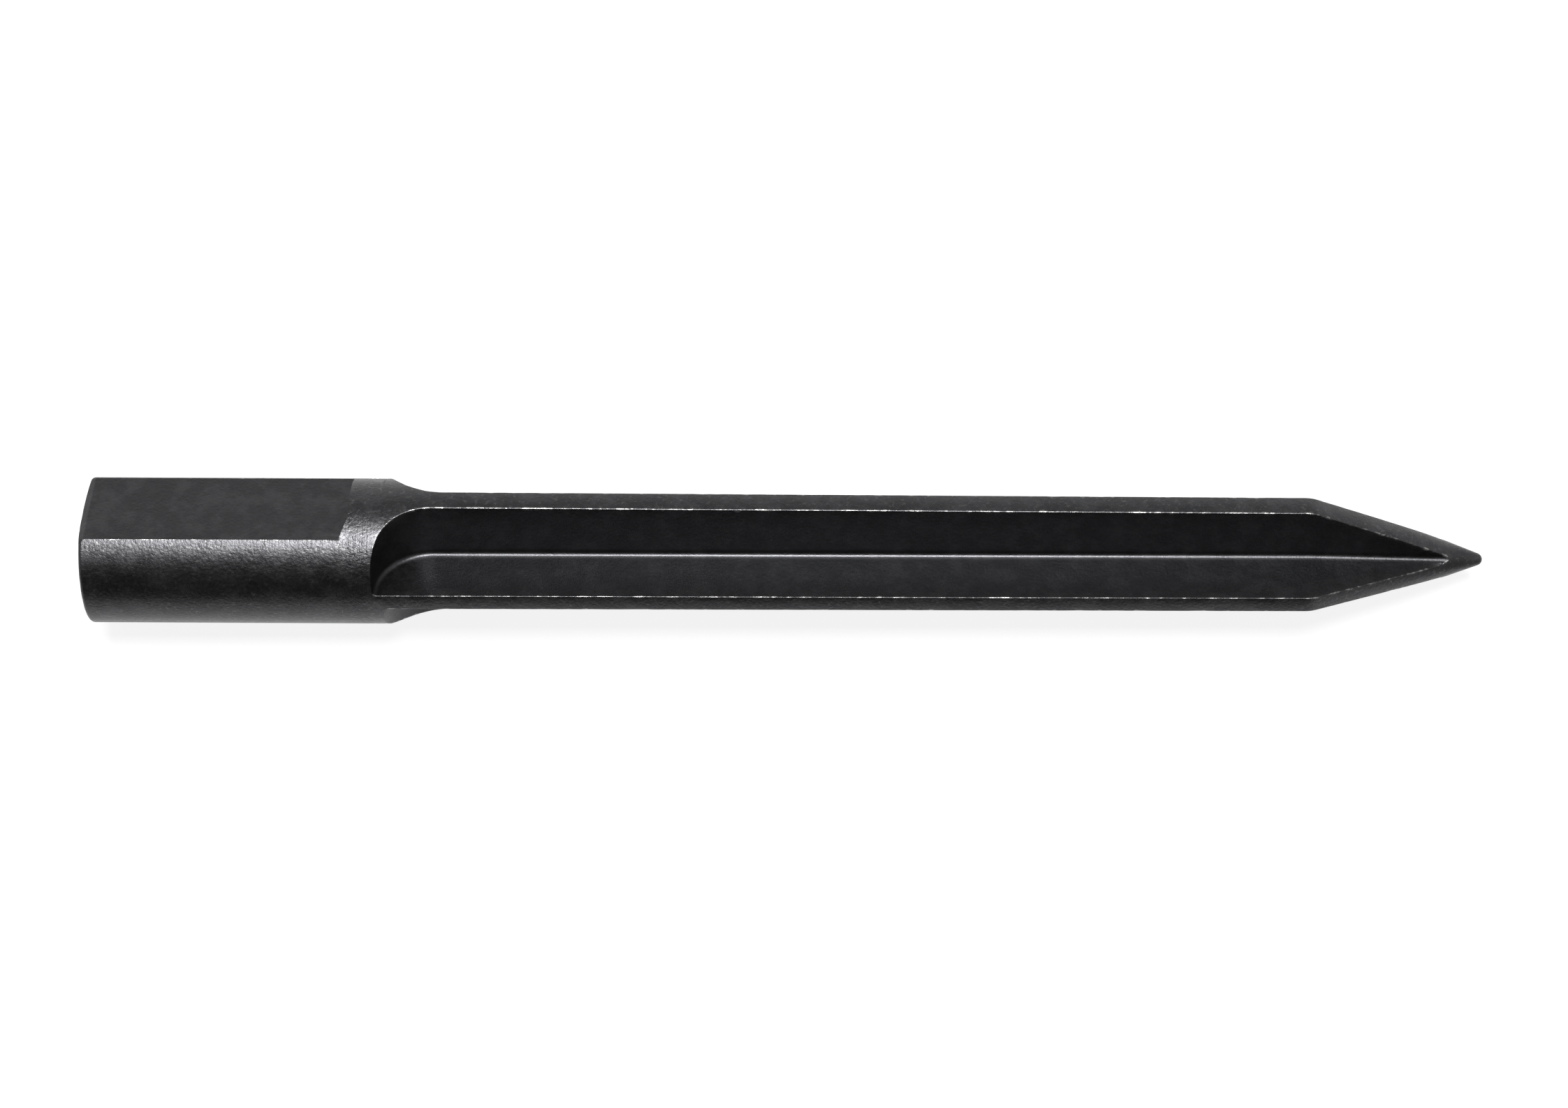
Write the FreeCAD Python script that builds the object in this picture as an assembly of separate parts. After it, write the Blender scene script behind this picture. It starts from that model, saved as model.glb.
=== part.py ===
import FreeCAD, Part
import math
import os

# A hand punch forged, turned and milled from one bar of tool steel.
# Lengths are in millimetres and angles in degrees.
# The tool lies on a level surface with its point towards +X and +Z up. The origin is on that surface,
# under the middle of the tool. The four arms of the fluted body stand at 45 degrees to the surface,
# which is how the tool comes to rest when it is put down.

# ---- driving dimensions -------------------------------------------------------------------------
OVERALL_LENGTH = 152.4
SHANK_DIAMETER = 15.875

# struck end
CROWN_HEIGHT = 0.5          # bulge of the struck end over its full width
RIM_RADIUS = 0.4            # rounding between the struck end and the shank

# flat on the shank
FLAT_LENGTH = 29.2          # from the struck end to the step that ends the flat
FLAT_DEPTH = 1.5875         # how far the flat lies below the round of the shank
FLAT_BEVEL_LENGTH = 0.5     # bevel where the flat meets the struck end, along the tool
FLAT_BEVEL_DEPTH = 0.2      # the same bevel, into the flat
FLAT_CORNER_LENGTH = 0.9    # the one cut-off corner at the step, along the tool
FLAT_CORNER_WIDTH = 2.4     # the same corner, across the flat

# fluted body
PLAIN_BAND = 2.35           # full round left between the flat's step and the flutes
FLUTE_STAGGER = 1.1         # how much later the two flutes start that open to the sides
BODY_TAPER = 0.28           # radius lost between the start of the flutes and the shoulder
RIB_THICKNESS = 2.50        # the pair of arms that points the way the flat faces, at their outer ends
WEB_THICKNESS = 2.00        # the pair of arms across the flat
FLUTE_DRAFT = 1.6           # slope of the sides of the rib and of the end walls of the flutes
RUNOUT_RADIUS = 6.35        # corner where the side of a flute turns into its end wall
VALLEY_RADIUS = 0.55        # rounding in the bottom corner of a flute

# nose
NOSE_HALF_ANGLE = 20.3
SHOULDER_RADIUS = 4.0       # blend between the body and the cone
POINT_RADIUS = 0.70         # ball at the very tip

# ---- values that follow from them ---------------------------------------------------------------
SHANK_RADIUS = SHANK_DIAMETER / 2.0
FLAT_HEIGHT = SHANK_RADIUS - FLAT_DEPTH
FLUTE_START = FLAT_LENGTH + PLAIN_BAND
BODY_END_RADIUS = SHANK_RADIUS - BODY_TAPER
CUTTER_MARGIN = 5.0         # how far every cutting tool reaches past the steel
ARM_ANGLE = 45.0            # turn of the arms from the upright when the tool lies at rest

AXIS = FreeCAD.Vector(1, 0, 0)
CENTRE = FreeCAD.Vector(0, 0, 0)
SIDE = FreeCAD.Vector(0, 1, 0)
UP = FreeCAD.Vector(0, 0, 1)


def profile_point(along, radius):
    """A point of the turning profile, in the plane that holds the axis and +Z."""
    return FreeCAD.Vector(along, 0, radius)


def arc_edge(start, middle, end):
    """A circular edge through three points."""
    return Part.Arc(start, middle, end).toShape()


def shoulder_points():
    """The start, middle and end of the arc that blends the tapered body into the cone."""
    nose_angle = math.radians(NOSE_HALF_ANGLE)
    apex = OVERALL_LENGTH + POINT_RADIUS * (1.0 / math.sin(nose_angle) - 1.0)
    corner_at = apex - BODY_END_RADIUS / math.tan(nose_angle)
    taper_angle = math.atan(BODY_TAPER / (corner_at - FLUTE_START))
    corner = profile_point(corner_at, BODY_END_RADIUS)
    along_body = profile_point(math.cos(taper_angle), -math.sin(taper_angle))
    along_cone = profile_point(math.cos(nose_angle), -math.sin(nose_angle))
    reach = SHOULDER_RADIUS * math.tan((nose_angle - taper_angle) / 2.0)
    start = corner - along_body * reach
    end = corner + along_cone * reach
    inward = profile_point(-math.sin(taper_angle), -math.cos(taper_angle))
    centre = start + inward * SHOULDER_RADIUS
    outward = corner - centre
    outward.normalize()
    return start, centre + outward * SHOULDER_RADIUS, end


def point_points():
    """The start, middle and end of the arc of the ball point, from the cone to the axis."""
    nose_angle = math.radians(NOSE_HALF_ANGLE)
    centre = profile_point(OVERALL_LENGTH - POINT_RADIUS, 0)
    half_turn = (math.pi / 2.0 - nose_angle) / 2.0
    start = centre + profile_point(math.sin(nose_angle), math.cos(nose_angle)) * POINT_RADIUS
    middle = centre + profile_point(math.cos(half_turn), math.sin(half_turn)) * POINT_RADIUS
    return start, middle, profile_point(OVERALL_LENGTH, 0)


def crown_middle():
    """A point halfway up the arc of the crowned struck end."""
    crown_radius = (SHANK_RADIUS ** 2 + CROWN_HEIGHT ** 2) / (2.0 * CROWN_HEIGHT)
    half_width = SHANK_RADIUS / 2.0
    return profile_point(crown_radius - math.sqrt(crown_radius ** 2 - half_width ** 2), half_width)


def turned_blank():
    """The bar as it leaves the lathe: crowned end, shank, tapered body, cone and ball point.

    The shank's wall is three faces end to end: beside the flat, beside its cut corner, and the plain
    band. Each face then keeps the same outline all along, apart from the short one at the corner.
    """
    crown_edge = profile_point(CROWN_HEIGHT, SHANK_RADIUS)
    corner_start = profile_point(FLAT_LENGTH - FLAT_CORNER_LENGTH, SHANK_RADIUS)
    band_start = profile_point(FLAT_LENGTH, SHANK_RADIUS)
    taper_start = profile_point(FLUTE_START, SHANK_RADIUS)
    shoulder_start, shoulder_middle, shoulder_end = shoulder_points()
    ball_start, ball_middle, tip = point_points()
    edges = [
        arc_edge(CENTRE, crown_middle(), crown_edge),
        Part.makeLine(crown_edge, corner_start),
        Part.makeLine(corner_start, band_start),
        Part.makeLine(band_start, taper_start),
        Part.makeLine(taper_start, shoulder_start),
        arc_edge(shoulder_start, shoulder_middle, shoulder_end),
        Part.makeLine(shoulder_end, ball_start),
        arc_edge(ball_start, ball_middle, tip),
        Part.makeLine(tip, CENTRE),
    ]
    blank = Part.Face(Part.Wire(edges)).revolve(CENTRE, AXIS, 360)
    rim = [edge for edge in blank.Edges if is_rim(edge)]
    return blank.makeFillet(RIM_RADIUS, rim)


def is_rim(edge):
    """True for the circle where the struck end meets the shank."""
    box = edge.BoundBox
    on_plane = abs(box.XMin - CROWN_HEIGHT) < 1e-6 and abs(box.XMax - CROWN_HEIGHT) < 1e-6
    return on_plane and box.ZMax - box.ZMin > SHANK_RADIUS


def closed_prism(points, direction):
    """A solid with straight sides: the outline through the points, drawn out along a vector."""
    outline = Part.makePolygon(points + [points[0]])
    return Part.Face(outline).extrude(direction)


def flat_cutter():
    """What the flat removes: a slab over the shank, bevelled at the struck end, with one cut corner."""
    reach = SHANK_RADIUS + CUTTER_MARGIN
    slope = FLAT_BEVEL_DEPTH / FLAT_BEVEL_LENGTH
    bevel_end = CROWN_HEIGHT + FLAT_BEVEL_LENGTH
    side_view = [
        FreeCAD.Vector(bevel_end, -reach, FLAT_HEIGHT),
        FreeCAD.Vector(FLAT_LENGTH, -reach, FLAT_HEIGHT),
        FreeCAD.Vector(FLAT_LENGTH, -reach, reach),
        FreeCAD.Vector(-CUTTER_MARGIN, -reach, reach),
        FreeCAD.Vector(-CUTTER_MARGIN, -reach, FLAT_HEIGHT - slope * (bevel_end + CUTTER_MARGIN)),
    ]
    slab = closed_prism(side_view, SIDE * (2.0 * reach))
    half_width = math.sqrt(SHANK_RADIUS ** 2 - FLAT_HEIGHT ** 2)
    corner_slope = FLAT_CORNER_LENGTH / FLAT_CORNER_WIDTH
    full_end = half_width - FLAT_CORNER_WIDTH
    corner_at = FLAT_LENGTH - corner_slope * (reach - full_end)
    top_view = [
        FreeCAD.Vector(-CUTTER_MARGIN, -reach, 0),
        FreeCAD.Vector(corner_at, -reach, 0),
        FreeCAD.Vector(FLAT_LENGTH, -full_end, 0),
        FreeCAD.Vector(FLAT_LENGTH, reach, 0),
        FreeCAD.Vector(-CUTTER_MARGIN, reach, 0),
    ]
    return slab.common(closed_prism(top_view, UP * reach))


def draft_over(depth):
    """How far a drafted wall leans over a depth."""
    return depth * math.tan(math.radians(FLUTE_DRAFT))


def flute_outline(height, growth):
    """The outline of one flute at a height over the tool's middle, grown outwards by the draft."""
    lean = draft_over(SHANK_RADIUS - WEB_THICKNESS / 2.0)
    wall = RIB_THICKNESS / 2.0 + lean - growth
    start = FLUTE_START + lean - growth
    radius = RUNOUT_RADIUS + growth
    reach = SHANK_RADIUS + RUNOUT_RADIUS + CUTTER_MARGIN
    end = OVERALL_LENGTH + CUTTER_MARGIN
    corner = FreeCAD.Vector(start + radius, wall + radius, height)
    diagonal = FreeCAD.Vector(-math.sqrt(0.5), -math.sqrt(0.5), 0) * radius
    wall_start = FreeCAD.Vector(start + radius, wall, height)
    wall_end = FreeCAD.Vector(end, wall, height)
    far_end = FreeCAD.Vector(end, reach, height)
    far_start = FreeCAD.Vector(start, reach, height)
    end_wall = FreeCAD.Vector(start, wall + radius, height)
    return Part.Wire([
        Part.makeLine(wall_start, wall_end),
        Part.makeLine(wall_end, far_end),
        Part.makeLine(far_end, far_start),
        Part.makeLine(far_start, end_wall),
        arc_edge(end_wall, corner + diagonal, wall_start),
    ])


def flute_cutter():
    """What one flute removes, between the rib standing up and the web lying flat."""
    floor = WEB_THICKNESS / 2.0
    top = SHANK_RADIUS + CUTTER_MARGIN
    outlines = [flute_outline(floor, 0.0), flute_outline(top, draft_over(top - floor))]
    cutter = Part.makeLoft(outlines, True, True)
    corners = [edge for edge in cutter.Edges if is_valley(edge, floor)]
    return cutter.makeFillet(VALLEY_RADIUS, corners)


def is_valley(edge, floor):
    """True for the edges where the floor of a flute meets the rib, the run-out and the end wall."""
    box = edge.BoundBox
    on_floor = abs(box.ZMin - floor) < 1e-6 and abs(box.ZMax - floor) < 1e-6
    past_side = box.YMin > SHANK_RADIUS + RUNOUT_RADIUS
    past_point = box.XMin > OVERALL_LENGTH
    return on_floor and not past_side and not past_point


def four_flutes():
    """The four flute cutters: two open up and down as the tool lies, and two start later at its sides."""
    first = flute_cutter()
    later = first.copy()
    later.translate(AXIS * FLUTE_STAGGER)
    upright_pair = [first.mirror(CENTRE, SIDE), first.mirror(CENTRE, UP)]
    side_pair = [later, later.mirror(CENTRE, SIDE).mirror(CENTRE, UP)]
    return upright_pair + side_pair


def fluted_punch():
    """The whole tool, lying at rest with its arms at 45 degrees."""
    tool = turned_blank().cut([flat_cutter()] + four_flutes())
    tool.rotate(CENTRE, AXIS, -ARM_ANGLE)
    tool.translate(FreeCAD.Vector(-OVERALL_LENGTH / 2.0, 0, SHANK_RADIUS))
    return tool


def main():
    """Write the one sub-part and print what it measures."""
    os.makedirs("parts", exist_ok=True)
    punch = fluted_punch()
    punch.exportStep("parts/fluted_punch.step")
    box = punch.optimalBoundingBox(False, False)
    print("solids", len(punch.Solids), "valid", punch.isValid(), "volume mm3", round(punch.Volume, 1))
    print("length, width, height", [round(size, 3) for size in (box.XLength, box.YLength, box.ZLength)])


main()
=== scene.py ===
"""A fluted hand punch of blackened steel on a pale floor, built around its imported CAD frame."""
import logging
import math
from bisect import bisect_right
from dataclasses import dataclass, replace
from enum import Enum
from functools import cached_property
from itertools import accumulate
from typing import Any, Callable, Iterator, Sequence, Union

import bpy
from mathutils import Matrix, Vector


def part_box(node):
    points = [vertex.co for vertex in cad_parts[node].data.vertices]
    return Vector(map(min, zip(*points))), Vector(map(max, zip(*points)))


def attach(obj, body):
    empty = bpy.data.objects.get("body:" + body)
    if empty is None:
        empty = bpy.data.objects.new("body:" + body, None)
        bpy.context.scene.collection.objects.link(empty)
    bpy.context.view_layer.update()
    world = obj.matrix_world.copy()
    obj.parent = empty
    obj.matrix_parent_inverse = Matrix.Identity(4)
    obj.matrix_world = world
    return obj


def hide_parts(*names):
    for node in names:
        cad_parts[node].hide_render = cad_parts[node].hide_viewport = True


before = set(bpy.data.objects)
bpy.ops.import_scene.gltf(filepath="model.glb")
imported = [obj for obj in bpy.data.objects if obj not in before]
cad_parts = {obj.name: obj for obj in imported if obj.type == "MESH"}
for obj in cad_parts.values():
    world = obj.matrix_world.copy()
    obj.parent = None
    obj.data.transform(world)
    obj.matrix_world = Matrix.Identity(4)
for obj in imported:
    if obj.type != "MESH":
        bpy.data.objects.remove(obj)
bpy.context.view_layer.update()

log = logging.getLogger("fluted_punch")

Number = Union[float, "Value"]
Sockets = dict[Union[str, int], Any]

QUARTER_TURN = math.pi / 2.0
PLAIN_BAND = 0.00235    # from the end of the flat to the start of the first flutes
FLUTE_STAGGER = 0.0011  # how much later the flutes at the sides start
TOUCH = 1e-9            # two surfaces this close count as one


# ---- shader and geometry nodes ------------------------------------------------------------------


class Value:
    """A number or vector on a node's output, which can be used in a Python expression."""

    def __init__(self, sheet: "NodeSheet", socket: bpy.types.NodeSocket) -> None:
        """Wrap a socket.

        Args:
            sheet: The node sheet that the socket's node is on.
            socket: The output socket.
        """
        self.sheet = sheet
        self.socket = socket

    def _maths(self, operation: str, *values: Number) -> "Value":
        """Add one Math node and return its result."""
        node = self.sheet.add("ShaderNodeMath", {"operation": operation}, dict(enumerate(values)))
        return Value(self.sheet, node.outputs[0])

    def __add__(self, other: Number) -> "Value":
        """self + other."""
        return self._maths("ADD", self, other)

    def __radd__(self, other: float) -> "Value":
        """other + self."""
        return self._maths("ADD", other, self)

    def __sub__(self, other: Number) -> "Value":
        """self - other."""
        return self._maths("SUBTRACT", self, other)

    def __rsub__(self, other: float) -> "Value":
        """other - self."""
        return self._maths("SUBTRACT", other, self)

    def __mul__(self, other: Number) -> "Value":
        """self * other."""
        return self._maths("MULTIPLY", self, other)

    def __rmul__(self, other: float) -> "Value":
        """other * self."""
        return self._maths("MULTIPLY", other, self)

    def __rtruediv__(self, other: float) -> "Value":
        """other / self."""
        return self._maths("DIVIDE", other, self)

    def rise(self, low: float, high: float) -> "Value":
        """A smooth step from 0 to 1.

        Args:
            low: Where the step starts.
            high: Where it reaches 1.

        Returns:
            The stepped value.
        """
        settings = {"interpolation_type": "SMOOTHSTEP"}
        inputs = {"Value": self, "From Min": low, "From Max": high}
        return self.sheet.output("ShaderNodeMapRange", settings, inputs)

    def scaled(self, along: float, across: float) -> "Value":
        """This vector with its X multiplied by one number, and its Y and Z by another."""
        settings = {"operation": "MULTIPLY"}
        return self.sheet.output("ShaderNodeVectorMath", settings, {0: self, 1: (along, across, across)})


class NodeSheet:
    """One node tree, with a single way of adding a node to it."""

    def __init__(self, tree: bpy.types.NodeTree) -> None:
        """Start with an empty tree.

        Args:
            tree: The tree, whose nodes are removed.
        """
        self.tree = tree
        self.tree.nodes.clear()

    def add(self, kind: str, settings: dict[str, Any], inputs: Sockets) -> bpy.types.Node:
        """Add a node.

        Args:
            kind: The node's type.
            settings: Its properties, which are set first.
            inputs: Socket values or links, by the socket's name or place.

        Returns:
            The new node.
        """
        node = self.tree.nodes.new(kind)
        for name, value in settings.items():
            setattr(node, name, value)
        for name, value in inputs.items():
            if isinstance(value, Value):
                self.tree.links.new(value.socket, node.inputs[name])
            else:
                node.inputs[name].default_value = value
        return node

    def output(self, kind: str, settings: dict[str, Any], inputs: Sockets,
               name: Union[str, int] = 0) -> Value:
        """Add a node and return one of its outputs.

        Args:
            kind: The node's type.
            settings: Its properties.
            inputs: Socket values or links.
            name: The output's name or place.

        Returns:
            The output, as a value.
        """
        return Value(self, self.add(kind, settings, inputs).outputs[name])

    def noise(self, where: Value, scale: float, detail: float, roughness: float = 0.5) -> Value:
        """Add a noise pattern.

        Args:
            where: The coordinates that it reads.
            scale: How many features it has in one unit.
            detail: How many finer layers it has.
            roughness: How strong those layers are.

        Returns:
            The noise, from about 0.25 to 0.75.
        """
        inputs = {"Vector": where, "Scale": scale, "Detail": detail, "Roughness": roughness}
        return self.output("ShaderNodeTexNoise", {}, inputs)

    def mix(self, share: Number, low: Union[Value, Sequence[float]],
            high: Union[Value, Sequence[float]]) -> Value:
        """Mix two colours.

        Args:
            share: How much of the second colour there is.
            low: The colour at 0.
            high: The colour at 1.

        Returns:
            The mixed colour.
        """
        node = self.add("ShaderNodeMix", {"data_type": "RGBA"}, {0: share, 6: low, 7: high})
        return Value(self, node.outputs[2])


# ---- the steel's shape ---------------------------------------------------------------------------


class Quarter(Enum):
    """What is cut into a quarter of the shank."""

    PLAIN = "plain"
    FLATTED = "flatted"
    CORNERED = "flatted, with the flat's cut corner"


class Side(Enum):
    """The two halves of the punch, one on each side of the rib's middle plane."""

    SQUARE = 1.0
    CORNERED = -1.0

    @property
    def quarters(self) -> tuple[Quarter, Quarter]:
        """The half's lower and upper quarter."""
        return Quarter.PLAIN, Quarter.FLATTED if self is Side.SQUARE else Quarter.CORNERED


class Arm(Enum):
    """The two kinds of arm that the flutes leave."""

    WEB = "web"
    RIB = "rib"


@dataclass(frozen=True)
class Columns:
    """How many columns of points each stretch of a quarter has, from the web's land to the rib's land."""

    web_land: int = 6
    edge: int = 5
    floor: int = 9
    valley: int = 7
    wall: int = 10
    rib_land: int = 26

    @property
    def inside(self) -> int:
        """The steps across the flute and both of its edges."""
        return self.edge * 2 + self.floor + self.valley + self.wall

    @property
    def steps(self) -> int:
        """The steps across the whole quarter."""
        return self.web_land + self.inside + self.rib_land


@dataclass(frozen=True)
class Rings:
    """How many rings of points each stretch of the punch has, from the struck end to the point."""

    crown: int = 12
    rim: int = 10
    shank: int = 12
    cut_corner: int = 6
    plain_band: int = 14
    runout: int = 30
    body: int = 110
    shoulder: int = 14
    nose: int = 26
    closing: int = 30
    ball: int = 9


@dataclass(frozen=True)
class SkinPoint:
    """A point of the steel's surface, with what the finish needs to know there."""

    along: float
    side: float
    up: float
    edge: float = 0.0
    turned: float = 0.5


Outline = list[SkinPoint]


def spread(low: float, high: float, steps: int) -> list[float]:
    """Evenly spaced values from low up to, but not including, high."""
    return [low + (high - low) * step / steps for step in range(steps)]


def eased(low: float, high: float, steps: int) -> list[float]:
    """Values from low up to, but not including, high, which lie closer together at both ends."""
    return [low + (high - low) * (1.0 - math.cos(math.pi * step / steps)) / 2.0 for step in range(steps)]


def bisect(rule: Callable[[float], float], low: float, high: float) -> float:
    """Find where a rule changes sign.

    Args:
        rule: A function that is negative at one end and positive at the other.
        low: One end.
        high: The other end.

    Returns:
        The place of the change.
    """
    sign = rule(low) > 0.0
    for _ in range(48):
        middle = (low + high) / 2.0
        if (rule(middle) > 0.0) == sign:
            low = middle
        else:
            high = middle
    return (low + high) / 2.0


def fade(distance: float, width: float) -> float:
    """1 on a line and 0 at a width from it."""
    return max(1.0 - max(distance, 0.0) / width, 0.0)


@dataclass
class TurnedBar:
    """The round bar as it leaves the lathe, in metres from the struck end."""

    length: float
    shank_radius: float
    taper_from: float
    crown_height: float = 0.0005
    rim_radius: float = 0.0004
    body_taper: float = 0.00028
    nose_half_angle: float = math.radians(20.3)
    shoulder_radius: float = 0.0040
    point_radius: float = 0.0007

    @cached_property
    def crown_radius(self) -> float:
        """The radius of the ball that the crowned end is part of."""
        return (self.shank_radius ** 2 + self.crown_height ** 2) / (2.0 * self.crown_height)

    @cached_property
    def rim_up(self) -> float:
        """How far the centre of the rim's rounding lies from the axis."""
        return self.shank_radius - self.rim_radius

    @cached_property
    def rim_end(self) -> float:
        """Where the rim's rounding meets the shank."""
        return self.crown_radius - math.sqrt((self.crown_radius - self.rim_radius) ** 2 - self.rim_up ** 2)

    @cached_property
    def rim_start(self) -> float:
        """The radius at which the rim's rounding leaves the crowned end."""
        return self.rim_up * self.crown_radius / (self.crown_radius - self.rim_radius)

    @cached_property
    def apex(self) -> float:
        """Where the cone of the nose would come to a sharp point."""
        return self.length + self.point_radius * (1.0 / math.sin(self.nose_half_angle) - 1.0)

    @cached_property
    def corner(self) -> float:
        """Where the body's taper would meet the cone."""
        return self.apex - (self.shank_radius - self.body_taper) / math.tan(self.nose_half_angle)

    @cached_property
    def taper(self) -> float:
        """The angle of the body's taper."""
        return math.atan(self.body_taper / (self.corner - self.taper_from))

    @cached_property
    def shoulder_reach(self) -> float:
        """How far the shoulder's rounding reaches on each side of its corner."""
        return self.shoulder_radius * math.tan((self.nose_half_angle - self.taper) / 2.0)

    @cached_property
    def shoulder_start(self) -> float:
        """Where the shoulder's rounding starts."""
        return self.corner - self.shoulder_reach * math.cos(self.taper)

    @cached_property
    def shoulder_end(self) -> float:
        """Where the shoulder's rounding meets the cone."""
        return self.corner + self.shoulder_reach * math.cos(self.nose_half_angle)

    @cached_property
    def shoulder_centre(self) -> tuple[float, float]:
        """The centre of the shoulder's rounding, along the axis and up from it."""
        return (self.shoulder_start - self.shoulder_radius * math.sin(self.taper),
                self.taper_radius(self.shoulder_start) - self.shoulder_radius * math.cos(self.taper))

    @cached_property
    def ball_start(self) -> float:
        """Where the cone meets the rounded point."""
        return self.length - self.point_radius * (1.0 - math.sin(self.nose_half_angle))

    def crown_at(self, radius: float) -> float:
        """How far from the very end the crowned face lies, at a radius."""
        return self.crown_radius - math.sqrt(self.crown_radius ** 2 - radius ** 2)

    def taper_radius(self, along: float) -> float:
        """The body's radius on its straight taper."""
        return self.shank_radius - (along - self.taper_from) * math.tan(self.taper)

    def radius(self, along: float) -> float:
        """The radius of the turned surface.

        Args:
            along: The distance from the struck end.

        Returns:
            The radius there.
        """
        if along < self.rim_end:
            return self.rim_up + math.sqrt(max(self.rim_radius ** 2 - (self.rim_end - along) ** 2, 0.0))
        if along <= self.taper_from:
            return self.shank_radius
        if along <= self.shoulder_start:
            return self.taper_radius(along)
        if along <= self.shoulder_end:
            centre_along, centre_up = self.shoulder_centre
            return centre_up + math.sqrt(self.shoulder_radius ** 2 - (along - centre_along) ** 2)
        if along <= self.ball_start:
            return (self.apex - along) * math.tan(self.nose_half_angle)
        left = along - (self.length - self.point_radius)
        return math.sqrt(max(self.point_radius ** 2 - left ** 2, 0.0))


@dataclass
class MarkingFlat:
    """The flat that is cut along the shank."""

    shank_radius: float
    crown_height: float
    length: float = 0.0292
    depth: float = 0.0015875
    bevel_length: float = 0.0005
    bevel_depth: float = 0.0002
    corner_length: float = 0.0009
    corner_width: float = 0.0024

    @cached_property
    def height(self) -> float:
        """How far the flat lies from the axis."""
        return self.shank_radius - self.depth

    @cached_property
    def border(self) -> float:
        """The angle at which the flat meets the round of the shank."""
        return math.asin(self.height / self.shank_radius)

    @cached_property
    def full_half_width(self) -> float:
        """Half the flat's width, clear of its cut corner."""
        return self.shank_radius * math.cos(self.border)

    @cached_property
    def bevel_end(self) -> float:
        """Where the bevel at the struck end stops."""
        return self.crown_height + self.bevel_length

    @cached_property
    def corner_start(self) -> float:
        """Where the cut corner starts."""
        return self.length - self.corner_length

    def half_width(self, along: float, quarter: Quarter) -> float:
        """The flat's width on one side of its middle, which narrows at the cut corner.

        Args:
            along: The distance from the struck end.
            quarter: The quarter of the shank that this side is in.

        Returns:
            The width.
        """
        if quarter is not Quarter.CORNERED:
            return self.full_half_width
        narrowed = self.corner_width * max(along - self.corner_start, 0.0) / self.corner_length
        return self.full_half_width - narrowed

    def level(self, along: float) -> float:
        """The flat's distance from the axis, which drops over the bevel of the struck end."""
        return self.height - max(self.bevel_end - along, 0.0) * self.bevel_depth / self.bevel_length


@dataclass
class FluteLine:
    """A flute's cross-section as a line from the web's land to the rib's land."""

    points: list[tuple[float, float]]
    valley_from: int
    wall_from: int

    @cached_property
    def lengths(self) -> list[float]:
        """The line's length up to each of its points."""
        steps = [math.dist(before, after) for before, after in zip(self.points, self.points[1:])]
        return [0.0] + list(accumulate(steps))

    @property
    def total(self) -> float:
        """The line's whole length."""
        return self.lengths[-1]

    def marks(self, low_margin: float, high_margin: float) -> list[float]:
        """The lengths where floor, valley and wall start and end, inside a margin at each end."""
        marks = (0.0, self.lengths[self.valley_from], self.lengths[self.wall_from], self.total)
        return [min(max(mark, low_margin), self.total - high_margin) for mark in marks]

    def at(self, length: float) -> tuple[float, float]:
        """Find a point of the line.

        Args:
            length: How far along the line it is.

        Returns:
            Its distance from the rib's middle plane, and its height.
        """
        place = min(max(bisect_right(self.lengths, length), 1), len(self.points) - 1)
        gap = self.lengths[place] - self.lengths[place - 1]
        share = (length - self.lengths[place - 1]) / gap if gap > 0.0 else 0.0
        (side, up), (next_side, next_up) = self.points[place - 1], self.points[place]
        return side + (next_side - side) * share, up + (next_up - up) * share


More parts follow.
